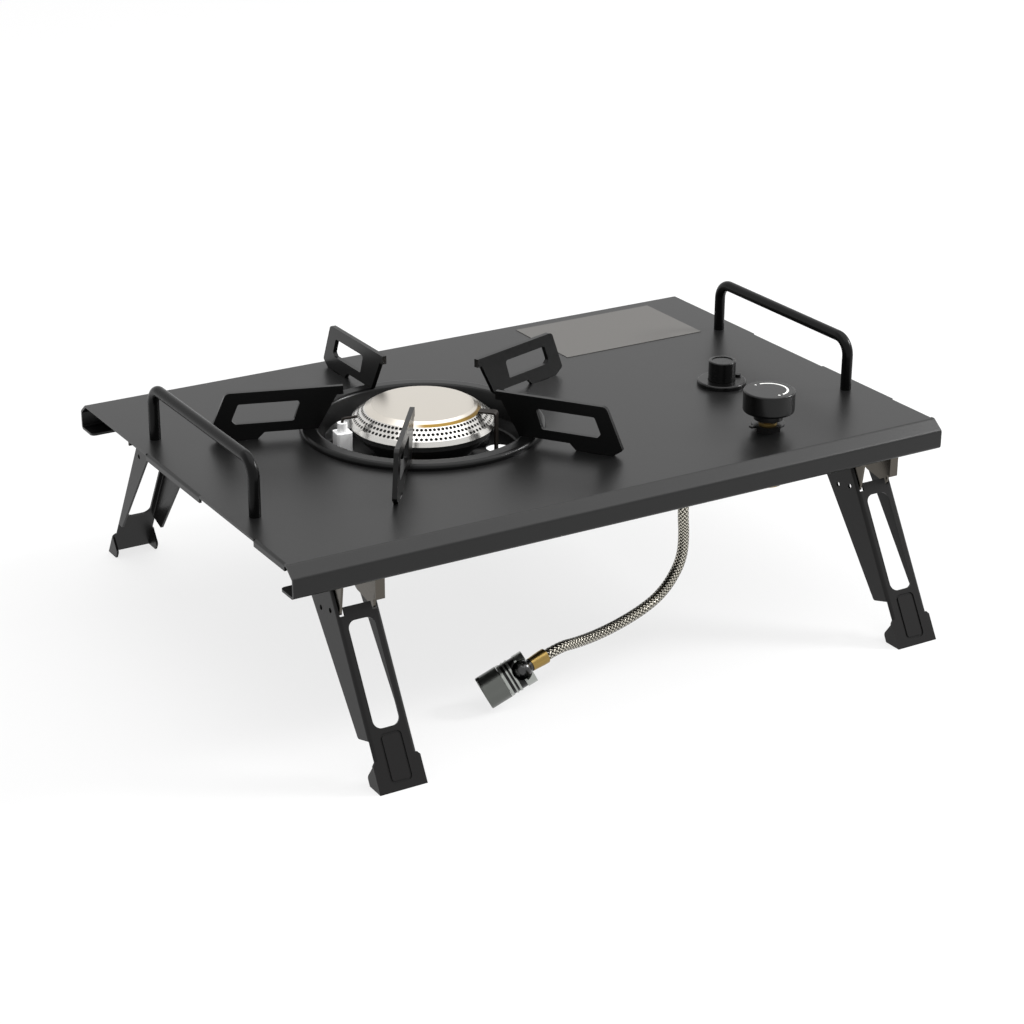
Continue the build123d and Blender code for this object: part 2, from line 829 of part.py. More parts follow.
def igniter_bezel():
    """Round flange on the plate with an index lug, bored for the button."""
    bore = button_radius + button_clearance
    flange = Cylinder(
        igniter_flange_radius, igniter_flange_height, align=(Align.CENTER, Align.CENTER, Align.MIN)
    )
    flange = fillet(flange.edges().sort_by(Axis.Z)[-1], igniter_flange_edge_radius)
    lug_top = igniter_flange_height + igniter_lug_height
    flange += rod((igniter_lug_place, 0, 0), (igniter_lug_place, 0, lug_top), igniter_lug_radius)
    flange -= rod((0, 0, -overrun), (0, 0, lug_top + overrun), bore)
    return igniter_location() * Pos(0, 0, plate_top) * flange


def igniter_case():
    """Piezo case through the plate, with a pocket for the button and a terminal below."""
    low = plate_top - igniter_case_drop
    bore = button_radius + button_clearance
    case = rod((0, 0, low), (0, 0, plate_top), igniter_case_radius)
    pocket_low = plate_top - igniter_pocket_depth
    case -= rod((0, 0, pocket_low), (0, 0, plate_top + overrun), bore)
    stem_low = pocket_low - button_stem_length - overrun
    case -= rod((0, 0, stem_low), (0, 0, pocket_low), button_stem_radius + running_clearance)
    case += rod((0, 0, low - igniter_terminal_length), (0, 0, low), igniter_terminal_radius)
    return igniter_location() * case


def igniter_nut():
    """Nut that holds the piezo case from below."""
    bore = igniter_case_radius + running_clearance
    nut = hexagon(igniter_nut_across_flats, igniter_nut_height)
    nut -= rod((0, 0, -overrun), (0, 0, igniter_nut_height + overrun), bore)
    return igniter_location() * Pos(0, 0, plate_under - igniter_nut_height) * nut


def igniter_button():
    """Tall push button with a dished top and a guide stem."""
    foot = plate_top - button_foot_drop
    top = plate_top + button_rise
    button = rod((0, 0, foot), (0, 0, top), button_radius)
    button = fillet(button.edges().sort_by(Axis.Z)[-1], button_edge_radius)
    button -= rod((0, 0, top - button_dish_depth), (0, 0, top + overrun), button_dish_radius)
    button += rod((0, 0, foot - button_stem_length), (0, 0, foot), button_stem_radius)
    return igniter_location() * button


def leg_location(side, end):
    """Frame of a leg: Z up along its web, Y inward, on the ground at the foot's outer edge."""
    turn = 0 if end < 0 else 180
    return Rot(0, 0, turn) * Pos(-side * end * leg_x, -foot_y, 0) * Rot(-leg_splay, 0, 0)


def leg_channel():
    """Bent channel of a leg: its web, and one deep and one shallow side wall that taper to the foot."""
    half = leg_width / 2
    flange_top = hinge_along + flange_top_gap
    reach = max(flange_top_depths) + overrun
    line = [(-half, reach), (-half, 0), (half, 0), (half, reach)]
    section = sheet_section(line, leg_sheet, leg_bend_radius, Side.LEFT)
    channel = Pos(0, 0, foot_height) * extrude(section, flange_top - foot_height)
    halves = []
    for x_side, low_depth, top_depth in zip((-1, 1), flange_bottom_depths, flange_top_depths):
        outline = FilletPolyline(
            (0, foot_height),
            (leg_sheet, foot_height),
            (leg_sheet, flange_bottom),
            (low_depth, flange_bottom + flange_bottom_rise),
            (top_depth, flange_top),
            (0, flange_top),
            radius=[0, 0, 0, flange_corner_radius, flange_corner_radius, 2 * flange_corner_radius],
            close=True,
        )
        face = make_face(outline)
        face -= Pos(hinge_depth, hinge_along) * Circle(pin_radius + running_clearance)
        for depth, gap in zip(flange_hole_depths, flange_hole_gaps):
            if depth + flange_hole_radius + flange_corner_radius < top_depth:
                face -= Pos(depth, hinge_along - gap) * Circle(flange_hole_radius)
        halves.append(channel & extrude(Plane.YZ * face, x_side * leg_width))
    channel = halves[0] + halves[1]
    clear = half - leg_sheet
    opening = block((-clear, -overrun, web_top), (clear, leg_bend_radius, flange_top + overrun))
    return channel - opening


def leg(side, end):
    """Pressed channel leg with a slotted web, tapered side walls and an eared foot."""
    half = leg_width / 2
    foot_half = foot_width / 2
    below = -foot_ear_depth
    shoulder = foot_height - foot_shoulder
    web = leg_channel()
    sole = Polyline(
        (-foot_half, below),
        (foot_half, below),
        (foot_half, shoulder),
        (half, foot_height),
        (-half, foot_height),
        (-foot_half, shoulder),
        close=True,
    )
    web += extrude(Plane.XZ * make_face(sole), -leg_sheet)
    for x_side in (-1, 1):
        ear_outer = x_side * foot_half
        ear_inner = ear_outer - x_side * leg_sheet
        ear_low = min(ear_outer, ear_inner)
        ear_face = FilletPolyline(
            (0, below),
            (foot_ear_depth, below),
            (foot_ear_depth, shoulder - foot_ear_slope),
            (0, shoulder),
            radius=[0, 0, foot_ear_corner_radius, 0],
            close=True,
        )
        web += Pos(ear_low, 0, 0) * extrude(Plane.YZ * make_face(ear_face), leg_sheet)
        notch_x = x_side * (half - leg_sheet - web_notch_width / 2)
        notch = Box(web_notch_width, 2 * leg_sheet + overrun, 2 * web_notch_depth)
        web -= Pos(notch_x, 0, web_top) * notch
    slot_top = web_top - slot_top_gap
    slot = RectangleRounded(slot_width, slot_top - slot_bottom, slot_corner_radius)
    opening = extrude(Plane.XZ * slot, leg_sheet + overrun, both=True)
    web -= Pos(0, 0, (slot_top + slot_bottom) / 2) * opening
    pad_height = pad_top - pad_bottom
    pad = RectangleRounded(pad_width, pad_height, pad_corner_radius)
    pad_inside = RectangleRounded(
        pad_width - 2 * pad_groove_width,
        pad_height - 2 * pad_groove_width,
        pad_corner_radius - pad_groove_width,
    )
    groove = extrude(Plane.XZ * (pad - pad_inside), pad_groove_depth, both=True)
    web -= Pos(0, 0, (pad_top + pad_bottom) / 2) * groove
    placed = leg_location(side, end) * web
    size = placed.bounding_box().size
    middle = placed.bounding_box().center()
    ground = Pos(middle.X, middle.Y, -size.Z / 2) * Box(2 * size.X, 2 * size.Y, size.Z)
    return placed - ground


def bracket(side, end):
    """Plated bracket: two cheeks for the leg's pin, a base under the lip and a foot on the plate."""
    outer = leg_width / 2 - leg_sheet - bracket_gap
    base_low = lip_level - bracket_sheet
    front = bracket_front_inset - half_depth
    cheek_front = bracket_cheek_inset - half_depth
    back = bracket_back_inset - half_depth
    tip = plate_top - bracket_tip_drop
    part = block((-outer, front, base_low), (outer, back, lip_level))
    part += block((-outer, back - bracket_sheet, base_low), (outer, back, plate_under))
    foot_low = plate_under - bracket_sheet
    part += block((-outer, back - bracket_sheet, foot_low), (outer, back + bracket_foot_length, plate_under))
    boss_low = hinge_level - bracket_boss_radius
    profile = Polyline(
        (cheek_front - bracket_slope_run, lip_level),
        (cheek_front, tip),
        (-hinge_y, boss_low),
        (-hinge_y + bracket_boss_radius, hinge_level),
        (back, lip_level),
        close=True,
    )
    cheek_face = make_face(profile) + Pos(-hinge_y, hinge_level) * Circle(bracket_boss_radius)
    cheek_face -= Pos(-hinge_y, hinge_level) * Circle(pin_radius + running_clearance)
    cheek = extrude(Plane.YZ * cheek_face, bracket_sheet)
    part += Pos(-outer, 0, 0) * cheek
    part += Pos(outer - bracket_sheet, 0, 0) * cheek
    tab_low = plate_top - bracket_tab_drop
    tab_front = cheek_front - bracket_slope_run
    part += block(
        (outer - bracket_sheet, tab_front, tab_low),
        (outer + bracket_tab_reach, tab_front + bracket_sheet, lip_level),
    )
    turn = 0 if end < 0 else 180
    return Rot(0, 0, turn) * Pos(-side * end * leg_x, 0, 0) * part


def hinge_pins():
    """Four headed pins that carry the legs."""
    pins = []
    reach = leg_width / 2 + pin_head_gap
    for end in (-1, 1):
        for side in (-1, 1):
            place = Pos(side * leg_x, end * hinge_y, hinge_level)
            pin = rod((-reach, 0, 0), (reach, 0, 0), pin_radius)
            for x_side in (-1, 1):
                start = x_side * reach
                pin += rod((start, 0, 0), (start + x_side * pin_head_height, 0, 0), pin_head_radius)
            pins.append(place * pin)
    return pins


def hose_radii():
    """Bend radius at each inner point of the hose's route."""
    points = [Vector(*point) for point in hose_route]
    radii = []
    for before, point, after in zip(points, points[1:], points[2:]):
        arriving = point - before
        leaving = after - point
        half_turn = math.radians(arriving.get_angle(leaving)) / 2
        shorter = min(arriving.length, leaving.length)
        radii.append(arc_run_share * shorter / math.tan(half_turn))
    return radii


def hose():
    """Plain tube along the hose's route."""
    radii = hose_radii()
    path = FilletPolyline(*hose_route, radius=radii)
    start = Vector(*hose_route[0])
    direction = Vector(*hose_route[1]) - start
    tube = sweep(Plane(start, z_dir=direction) * Circle(hose_radius), path)
    expected = math.pi * hose_radius ** 2 * path.length
    print("hose bend radii", [round(radius, 1) for radius in radii])
    print("hose length", round(path.length, 1), "volume share", round(tube.volume / expected, 4))
    return tube


def ferrule_profile():
    """Turned ferrule with a tapered tip, standing on the XY plane."""
    return turned([
        (0, 0),
        (ferrule_radius, 0),
        (ferrule_radius, ferrule_taper_share * ferrule_length),
        (ferrule_tip_radius, ferrule_length),
        (0, ferrule_length),
    ])


def inlet_ferrule():
    """Crimped end of the hose under the plate."""
    return Pos(*hose_route[0]) * ferrule_profile()


def inlet_pipe():
    """Bent brass pipe from the hose's upper ferrule to the valve."""
    x, y, z = hose_route[0]
    level = plate_top - valve_inlet_drop
    reach = polar(valve_inlet_reach, inlet_turn())
    end = (valve_x + reach[0], valve_y + reach[1], level)
    points = [(x, y, z + ferrule_length), (x, y, level), end]
    path = FilletPolyline(*points, radius=inlet_bend_radius)
    start = Plane(points[0], z_dir=(0, 0, 1))
    pipe = sweep(start * Circle(inlet_pipe_radius), path)
    bore = sweep(start * Circle(inlet_pipe_bore_radius), path)
    return pipe - bore


def ferrule_plane():
    """Plane at the hose's lower end, with Z along its ferrule."""
    end = Vector(*hose_route[-1])
    return Plane(end, z_dir=end - Vector(*hose_route[-2]))


def connector_location():
    """Middle of the swivel, with Z towards the connector's free end and X to its window."""
    middle = ferrule_plane().from_local_coords(Vector(0, 0, swivel_reach))
    lean = Rot(0, 0, connector_heading) * Rot(0, connector_lean, 0)
    return Pos(middle.X, middle.Y, middle.Z) * lean * Rot(0, 0, connector_roll)


def connector_ferrule():
    """Brass ferrule between the hose and the swivel."""
    return ferrule_plane().location * ferrule_profile()


def connector_swivel():
    """Ball on a short neck that lets the hose swing in the connector."""
    ball = Pos(0, 0, swivel_reach) * Sphere(swivel_radius)
    ball += rod((0, 0, ferrule_length), (0, 0, swivel_reach), swivel_neck_radius)
    return ferrule_plane().location * ball


def connector_body():
    """Grooved upper half of the connector with a cup for the swivel, a window and a spigot."""
    length = connector_back + connector_front
    groove_floor = connector_radius - connector_groove_depth
    recess_floor = connector_radius - connector_recess_depth
    cuts = [(shares, groove_floor) for shares in connector_groove_shares]
    cuts.append((connector_recess_shares, recess_floor))
    body = rod((0, 0, -connector_back), (0, 0, connector_front), connector_radius)
    for (low_share, high_share), floor in cuts:
        low = low_share * length - connector_back
        high = high_share * length - connector_back
        ring = rod((0, 0, low), (0, 0, high), connector_radius + overrun)
        body -= ring - rod((0, 0, low), (0, 0, high), floor)
    body += rod((0, 0, connector_front), (0, 0, connector_front + connector_spigot_length),
                connector_spigot_radius)
    body -= rod((0, 0, -connector_back - overrun), (0, 0, 0), connector_mouth_radius)
    body -= Sphere(swivel_radius + running_clearance)
    level = connector_window_share * length - connector_back
    oval = Ellipse(connector_window_length / 2, connector_window_width / 2)
    across = Plane((0, 0, level), x_dir=(0, 0, 1), z_dir=(1, 0, 0))
    window = extrude(across * oval, connector_radius + overrun)
    return connector_location() * (body - window)


def connector_collar():
    """Turning collar of the connector with the canister's threaded bore and a notch."""
    start = connector_front + collar_gap
    end = start + collar_length
    collar = rod((0, 0, start), (0, 0, end), collar_radius)
    collar = fillet(collar.edges().sort_by(Axis.Z)[-1], collar_edge_radius)
    socket = connector_spigot_radius + running_clearance
    socket_end = start + connector_spigot_length + seal_length
    collar -= rod((0, 0, start - overrun), (0, 0, socket_end), socket)
    collar -= rod((0, 0, start), (0, 0, end + overrun), collar_bore_radius)
    notch = Box(collar_radius, collar_notch_width, 2 * collar_notch_depth)
    collar -= Rot(0, 0, collar_notch_turn) * Pos(collar_radius, 0, end) * notch
    return connector_location() * collar


def canister_seal():
    """Rubber ring below the collar's bore, on the spigot's face."""
    start = connector_front + connector_spigot_length
    ring = rod((0, 0, start), (0, 0, start + seal_length), seal_radius)
    ring -= rod((0, 0, start - overrun), (0, 0, start + seal_length + overrun), seal_bore_radius)
    return connector_location() * ring


def stove():
    """All nodes by name."""
    nodes = {
        "top_plate": table_plate(),
        "left_handle": handle(-1),
        "right_handle": handle(1),
        "handle_screws": Compound(handle_screws()),
        "drip_pan": drip_pan(),
        "burner_base": burner_base(),
        "burner_screws": Compound(burner_screws()),
        "burner_skirt": burner_skirt(),
        "burner_cap": burner_cap(),
        "burner_strap": burner_strap(),
        "electrode_ceramic": electrode_ceramic(),
        "electrode_wire": electrode_wire(),
        "mixing_tube": mixing_tube(),
        "gas_jet": gas_jet(),
        "valve_body": valve_body(),
        "valve_washer": valve_washer(),
        "valve_nut": valve_nut(),
        "valve_stem": valve_stem(),
        "control_knob": control_knob(),
        "igniter_bezel": igniter_bezel(),
        "igniter_case": igniter_case(),
        "igniter_nut": igniter_nut(),
        "igniter_button": igniter_button(),
        "hinge_pins": Compound(hinge_pins()),
        "support_ring": support_ring(),
        "inlet_pipe": inlet_pipe(),
        "inlet_ferrule": inlet_ferrule(),
        "hose": hose(),
        "connector_ferrule": connector_ferrule(),
        "connector_swivel": connector_swivel(),
        "connector_body": connector_body(),
        "connector_collar": connector_collar(),
        "canister_seal": canister_seal(),
    }
    for number, angle in enumerate(claw_angles(), start=1):
        nodes[f"claw_{number}"] = claw(angle)
    for end, end_name in ((-1, "front"), (1, "rear")):
        for side, side_name in ((-1, "left"), (1, "right")):
            nodes[f"{end_name}_{side_name}_leg"] = leg(side, end)
            nodes[f"{end_name}_{side_name}_bracket"] = bracket(side, end)
    return nodes


os.makedirs("parts", exist_ok=True)
for name, shape in stove().items():
    export_step(shape, f"parts/{name}.step")
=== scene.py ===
"""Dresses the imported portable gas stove: finishes, flame holes, hose braid, knob mark and studio stage."""

import json
import math

import bmesh
import bpy
from mathutils import Matrix, Vector


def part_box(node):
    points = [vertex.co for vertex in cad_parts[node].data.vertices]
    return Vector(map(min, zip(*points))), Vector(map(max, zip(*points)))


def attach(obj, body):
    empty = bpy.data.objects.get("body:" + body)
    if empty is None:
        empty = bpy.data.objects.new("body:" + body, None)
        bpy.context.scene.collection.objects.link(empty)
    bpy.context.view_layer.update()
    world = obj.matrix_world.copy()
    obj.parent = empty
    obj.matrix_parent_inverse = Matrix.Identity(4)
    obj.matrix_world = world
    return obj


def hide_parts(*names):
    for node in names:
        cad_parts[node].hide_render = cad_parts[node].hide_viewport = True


bl_info = {
    "name": "Portable gas stove",
    "version": (1, 0, 0),
    "blender": (4, 5, 0),
    "location": "View3D > Sidebar > Stove",
    "description": "Dresses a packed portable gas stove and sets its studio stage",
    "category": "Object",
}

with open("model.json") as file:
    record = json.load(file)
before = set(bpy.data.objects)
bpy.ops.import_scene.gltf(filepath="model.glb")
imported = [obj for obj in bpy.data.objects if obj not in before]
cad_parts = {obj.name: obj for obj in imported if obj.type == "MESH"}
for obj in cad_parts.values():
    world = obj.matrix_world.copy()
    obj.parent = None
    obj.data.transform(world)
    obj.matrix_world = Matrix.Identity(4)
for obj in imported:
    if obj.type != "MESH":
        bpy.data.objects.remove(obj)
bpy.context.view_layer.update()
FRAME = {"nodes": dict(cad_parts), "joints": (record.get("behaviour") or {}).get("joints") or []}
NODES = FRAME["nodes"]
MM = 0.001
TABLE = "stove_table"
LEGS = ["front_left_leg", "front_right_leg", "rear_left_leg", "rear_right_leg"]
BRACKETS = [leg.replace("_leg", "_bracket") for leg in LEGS]
CLAWS = [f"claw_{number}" for number in range(1, 6)]


def middle_of(node):
    """Middle of a CAD node's box."""
    low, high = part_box(node)
    return (low + high) / 2


def radius_of(node):
    """Half the width of a round CAD node."""
    low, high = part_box(node)
    return (high.x - low.x) / 2


def top_of(node):
    """Highest level of a CAD node."""
    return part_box(node)[1].z


# Colours and node helpers


def linear(code):
    """Linear RGBA of an sRGB hex code."""
    values = [int(code[index:index + 2], 16) / 255 for index in (1, 3, 5)]
    return tuple(v / 12.92 if v <= 0.04045 else ((v + 0.055) / 1.055) ** 2.4 for v in values) + (1.0,)


def tone(name, description, code):
    """Colour property whose default is an sRGB hex code."""
    return bpy.props.FloatVectorProperty(
        name=name, description=description, default=linear(code), size=4, min=0.0, max=1.0, subtype="COLOR"
    )


def tones():
    """Colours that the user has set."""
    return bpy.context.scene.stove_colours


def add_node(tree, kind, values=None, links=None, **settings):
    """Adds a node, sets its properties, fills its inputs and links others to them."""
    node = tree.nodes.new(kind)
    for name, value in settings.items():
        setattr(node, name, value)
    for key, value in (values or {}).items():
        node.inputs[key].default_value = value
    for key, socket in (links or {}).items():
        tree.links.new(socket, node.inputs[key])
    return node


def start_material(name, colour, roughness, metallic=0.0, specular=0.5):
    """New material with one Principled shader; returns the material, its tree and the shader."""
    material = bpy.data.materials.new(name)
    material.use_nodes = True
    tree = material.node_tree
    tree.nodes.clear()
    values = {
        "Base Color": colour, "Roughness": roughness, "Metallic": metallic, "Specular IOR Level": specular,
    }
    shader = add_node(tree, "ShaderNodeBsdfPrincipled", values)
    add_node(tree, "ShaderNodeOutputMaterial", links={"Surface": shader.outputs["BSDF"]})
    return material, tree, shader


def grain(tree, shader, size, depth, strength):
    """Fine bump of a given grain size on a shader."""
    # The real grain of paint, enamel and moulded plastic is about 0.3 mm. The sizes that the finishes give
    # are coarser, so that it shows in the render.
    place = add_node(tree, "ShaderNodeTexCoord")
    noise = add_node(
        tree, "ShaderNodeTexNoise", {"Scale": 1 / size, "Detail": 2.0}, {"Vector": place.outputs["Object"]}
    )
    bump = add_node(
        tree, "ShaderNodeBump", {"Distance": depth, "Strength": strength}, {"Height": noise.outputs["Fac"]}
    )
    tree.links.new(bump.outputs["Normal"], shader.inputs["Normal"])


def level_along(tree, place, way, near, far, **settings):
    """Socket with a level that depends on how far a place lies along a way, between (reach, level) pairs."""
    along = add_node(tree, "ShaderNodeVectorMath", {1: way}, {0: place}, operation="DOT_PRODUCT")
    limits = {"From Min": near[0], "To Min": near[1], "From Max": far[0], "To Max": far[1]}
    level = add_node(tree, "ShaderNodeMapRange", limits, {"Value": along.outputs["Value"]}, **settings)
    return level.outputs["Result"]


def fill_ramp(ramp, stops):
    """Puts (position, colour) stops on a new colour ramp."""
    elements = ramp.color_ramp.elements
    while len(elements) < len(stops):
        elements.new(0.5)
    for element, (position, colour) in zip(elements, stops):
        element.position = position
        element.color = colour


# Finishes


def powder_coat():
    """Powder-coated sheet steel, sprayed and baked: black satin with a fine even grain."""
    material, tree, shader = start_material("powder_coat", tones().coat, roughness=0.35, specular=0.34)
    grain(tree, shader, size=1.2 * MM, depth=0.08 * MM, strength=0.25)
    return material


def rod_paint():
    """Semi-gloss black paint on bent steel rod, dipped: a smooth skin with soft highlights."""
    material, tree, shader = start_material("rod_paint", tones().rod, roughness=0.27, specular=0.13)
    grain(tree, shader, size=1.5 * MM, depth=0.03 * MM, strength=0.15)
    return material


def fired_enamel():
    """Black enamel fired on pressed steel: deep black with a low sheen and lit edges."""
    material, tree, shader = start_material("fired_enamel", tones().enamel, roughness=0.3, specular=0.22)
    grain(tree, shader, size=1.5 * MM, depth=0.05 * MM, strength=0.2)
    return material


def stoving_paint():
    """Black stoving paint on pressed steel: satin and slightly warm."""
    material, tree, shader = start_material("stoving_paint", tones().legs, roughness=0.36, specular=0.22)
    grain(tree, shader, size=1.2 * MM, depth=0.06 * MM, strength=0.2)
    return material


def nickel_plate():
    """Nickel plate on folded steel: a darkened, slightly warm metal with soft reflections."""
    return start_material("nickel_plate", tones().nickel, roughness=0.2, metallic=1.0)[0]


def polished_stainless():
    """Polished pressed stainless steel: pale and nearly a mirror."""
    return start_material("polished_stainless", tones().skirt, roughness=0.18, metallic=0.88)[0]


# Heat tint of the cap: where it begins and is full, in from the edge, where its middle lies, and the
# (share, level) pairs between which it fades to its sides
TINT_BEGINS = 2.7 * MM
TINT_FULL = 1.9 * MM
TINT_HEADING = math.radians(-75.0)
TINT_SIDES = ((0.55, 0.0), (0.76, 1.0))


def heat_tinted_stainless():
    """Polished stainless disc: a soft mirror with a straw heat tint on the front right of its rim."""
    steel, straw = tones().cap, tones().straw
    material, tree, shader = start_material("heat_tinted_stainless", steel, roughness=0.28, metallic=1.0)
    centre = middle_of("burner_cap")
    edge = radius_of("burner_cap")
    place = add_node(tree, "ShaderNodeTexCoord")
    moved = add_node(
        tree, "ShaderNodeVectorMath", {1: (-centre.x, -centre.y, 0.0)}, {0: place.outputs["Object"]},
        operation="ADD",
    )
    flat = add_node(
        tree, "ShaderNodeVectorMath", {1: (1.0, 1.0, 0.0)}, {0: moved.outputs[0]}, operation="MULTIPLY"
    )
    radius = add_node(tree, "ShaderNodeVectorMath", links={0: flat.outputs[0]}, operation="LENGTH")
    rim = add_node(
        tree, "ShaderNodeMapRange", {"From Min": edge - TINT_BEGINS, "From Max": edge - TINT_FULL},
        {"Value": radius.outputs["Value"]}, interpolation_type="SMOOTHSTEP",
    )
    heading = add_node(tree, "ShaderNodeVectorMath", links={0: flat.outputs[0]}, operation="NORMALIZE")
    way = (math.cos(TINT_HEADING), math.sin(TINT_HEADING), 0.0)
    sector = level_along(tree, heading.outputs[0], way, *TINT_SIDES, interpolation_type="SMOOTHSTEP")
    mask = add_node(tree, "ShaderNodeMath", links={0: rim.outputs["Result"], 1: sector}, operation="MULTIPLY")
    tint = add_node(tree, "ShaderNodeMix", {6: steel, 7: straw}, {0: mask.outputs[0]}, data_type="RGBA")
    tree.links.new(tint.outputs[2], shader.inputs["Base Color"])
    return material


def turned_brass():
    """Turned brass: warm yellow metal with soft reflections."""
    return start_material("turned_brass", tones().brass, roughness=0.27, metallic=1.0)[0]


def painted_casting():
    """Black painted casting: matt and grainy."""
    material, tree, shader = start_material("painted_casting", tones().casting, roughness=0.7)
    grain(tree, shader, size=1.5 * MM, depth=0.2 * MM, strength=0.4)
    return material


def browned_steel():
    """Steel strip and wire browned by heat: dull and dark."""
    return start_material("browned_steel", tones().browned, roughness=0.5, metallic=0.6)[0]


def glazed_ceramic():
    """Glazed white ceramic: a smooth clean white."""
    return start_material("glazed_ceramic", tones().ceramic, roughness=0.3)[0]


def moulded_abs():
    """Moulded black ABS: deep black with a soft sheen."""
    material, tree, shader = start_material("moulded_abs", tones().plastic, roughness=0.26, specular=0.3)
    grain(tree, shader, size=1.0 * MM, depth=0.02 * MM, strength=0.15)
    return material


def white_print():
    """White ink printed on plastic: flat and slightly warm."""
    return start_material("white_print", tones().ink, roughness=0.5)[0]


def brushed_sheet():
    """Thin brushed aluminium sheet: plain grey with a soft sheen."""
    return start_material("brushed_sheet", tones().sheet, roughness=0.42, metallic=0.6)[0]


def zinc_plate():
    """Zinc-plated steel: pale grey metal."""
    return start_material("zinc_plate", tones().zinc, roughness=0.35, metallic=1.0)[0]


def grey_anodised():
    """Anodised aluminium turned on a lathe: dark grey with soft streaks of light."""
    return start_material("grey_anodised", tones().collar, roughness=0.32, metallic=1.0)[0]


# Where the grooves of the connector's body begin and end, as shares of its length from the hose; painted
# shade darkens them
GROOVES = ((0.31, 0.497), (0.565, 0.633), (0.684, 0.77))


def anodised_with_painted_groove_shade():
    """Grey anodised aluminium with painted shade in the turned grooves around the connector's body."""
    body, groove_shade = tones().connector, tones().groove_shade
    material, tree, shader = start_material("anodised_with_painted_groove_shade", body, roughness=0.3, metallic=1.0)
    joint = next(entry for entry in FRAME["joints"] if entry["name"] == "collar_turn")
    axis = Vector(joint["axis"])
    spots = [axis.dot(corner.co) for corner in NODES["connector_body"].data.vertices]
    hinge = axis.dot(Vector(joint["pos_m"]))
    back, front = sorted((min(spots), max(spots)), key=lambda spot: -abs(spot - hinge))
    place = add_node(tree, "ShaderNodeTexCoord")
    share = level_along(tree, place.outputs["Object"], tuple(axis), (back, 0.0), (front, 1.0))
    ramp = add_node(tree, "ShaderNodeValToRGB", links={0: share})
    ramp.color_ramp.interpolation = "CONSTANT"
    # The dark stops in the grooves are painted shade, as the grooves are shallow in the geometry.
    stops = [(0.0, body)]
    for start, end in GROOVES:
        stops += [(start, groove_shade), (end, body)]
    fill_ramp(ramp, stops)
    tree.links.new(ramp.outputs["Color"], shader.inputs["Base Color"])
    return material


def black_anodised():
    """Black anodised aluminium: dark grey where it is lit, with bright highlights."""
    return start_material("black_anodised", tones().swivel, roughness=0.25, metallic=1.0)[0]


def bare_aluminium():
    """Bare aluminium tube: pale and slightly rough."""
    return start_material("bare_aluminium", tones().aluminium, roughness=0.4, metallic=1.0)[0]


def moulded_rubber():
    """Black moulded rubber: matt."""
    return start_material("moulded_rubber", tones().rubber, roughness=0.75)[0]


# Heights of a wire bundle, 0.5 in its middle, at which the painted shade of the gap ends and the bright crown
# begins, and the depth and strength of the bump that they make
GAP_ENDS = 0.2
CROWN_BEGINS = 0.46
BRAID_DEPTH = 0.7 * MM
BRAID_STRENGTH = 0.8


def wire_braid():
    """Stainless wire braid: bright bundles that pass over and under each other, with painted shade between
    them.
    """
    material, tree, shader = start_material("wire_braid", tones().wire, roughness=0.12, metallic=1.0)
    sizes = bpy.context.scene.stove_hose
    place = add_node(tree, "ShaderNodeUVMap")
    parts = add_node(tree, "ShaderNodeSeparateXYZ", links={0: place.outputs["UV"]})
    along = add_node(
        tree, "ShaderNodeMath", {1: sizes.length / sizes.bundle_pitch}, {0: parts.outputs["X"]},
        operation="MULTIPLY",
    )
    around = add_node(
        tree, "ShaderNodeMath", {1: float(sizes.bundles)}, {0: parts.outputs["Y"]}, operation="MULTIPLY"
    )
    # Two sets of bundles wind opposite ways. Each has its number and a height that peaks in its middle.
    heights = []
    numbers = []
    for operation in ("ADD", "SUBTRACT"):
        lane = add_node(
            tree, "ShaderNodeMath", links={0: along.outputs[0], 1: around.outputs[0]}, operation=operation
        )
        share = add_node(tree, "ShaderNodeMath", links={0: lane.outputs[0]}, operation="FRACT")
        swing = add_node(tree, "ShaderNodeMath", {1: 0.5}, {0: share.outputs[0]}, operation="PINGPONG")
        heights.append(swing.outputs[0])
        number = add_node(tree, "ShaderNodeMath", links={0: lane.outputs[0]}, operation="FLOOR")
        numbers.append(number.outputs[0])
    # The set on top changes from crossing to crossing.
    total = add_node(tree, "ShaderNodeMath", links={0: numbers[0], 1: numbers[1]}, operation="ADD")
    over = add_node(tree, "ShaderNodeMath", {1: 1.0}, {0: total.outputs[0]}, operation="PINGPONG")
    height = add_node(tree, "ShaderNodeMix", links={0: over.outputs[0], 2: heights[0], 3: heights[1]})
    # Painted shade: the gaps between the bundles take a near-black colour.
    shade = add_node(
        tree, "ShaderNodeMapRange", {"From Min": GAP_ENDS, "From Max": CROWN_BEGINS},
        {"Value": height.outputs[0]},
    )
    colour = add_node(
        tree, "ShaderNodeMix", {6: tones().wire_gap_shade, 7: tones().wire}, {0: shade.outputs["Result"]},
        data_type="RGBA",
    )
    bump = add_node(
        tree, "ShaderNodeBump", {"Distance": BRAID_DEPTH, "Strength": BRAID_STRENGTH},
        {"Height": height.outputs[0]},
    )
    tree.links.new(colour.outputs[2], shader.inputs["Base Color"])
    tree.links.new(bump.outputs["Normal"], shader.inputs["Normal"])
    return material


def dress(material, *nodes):
    """Gives CAD nodes a finish."""
    for node in nodes:
        slots = NODES[node].data.materials
        slots.clear()
        slots.append(material)


# Mesh helpers


def mesh_object(name, points, faces, material):
    """New mesh object at the origin with its place in its points."""
    mesh = bpy.data.meshes.new(name)
    mesh.from_pydata(points, [], faces)
    mesh.update()
    thing = bpy.data.objects.new(name, mesh)
    bpy.context.scene.collection.objects.link(thing)
    mesh.materials.append(material)
    return thing


def plate_mesh(name, outline, low, high, material):
    """Flat plate between two levels from a counter-clockwise outline."""
    count = len(outline)
    points = [(x, y, low) for x, y in outline] + [(x, y, high) for x, y in outline]
    faces = [tuple(range(count - 1, -1, -1)), tuple(range(count, 2 * count))]
    for index in range(count):
        after = (index + 1) % count
        faces.append((index, after, count + after, count + index))
    return mesh_object(name, points, faces, material)


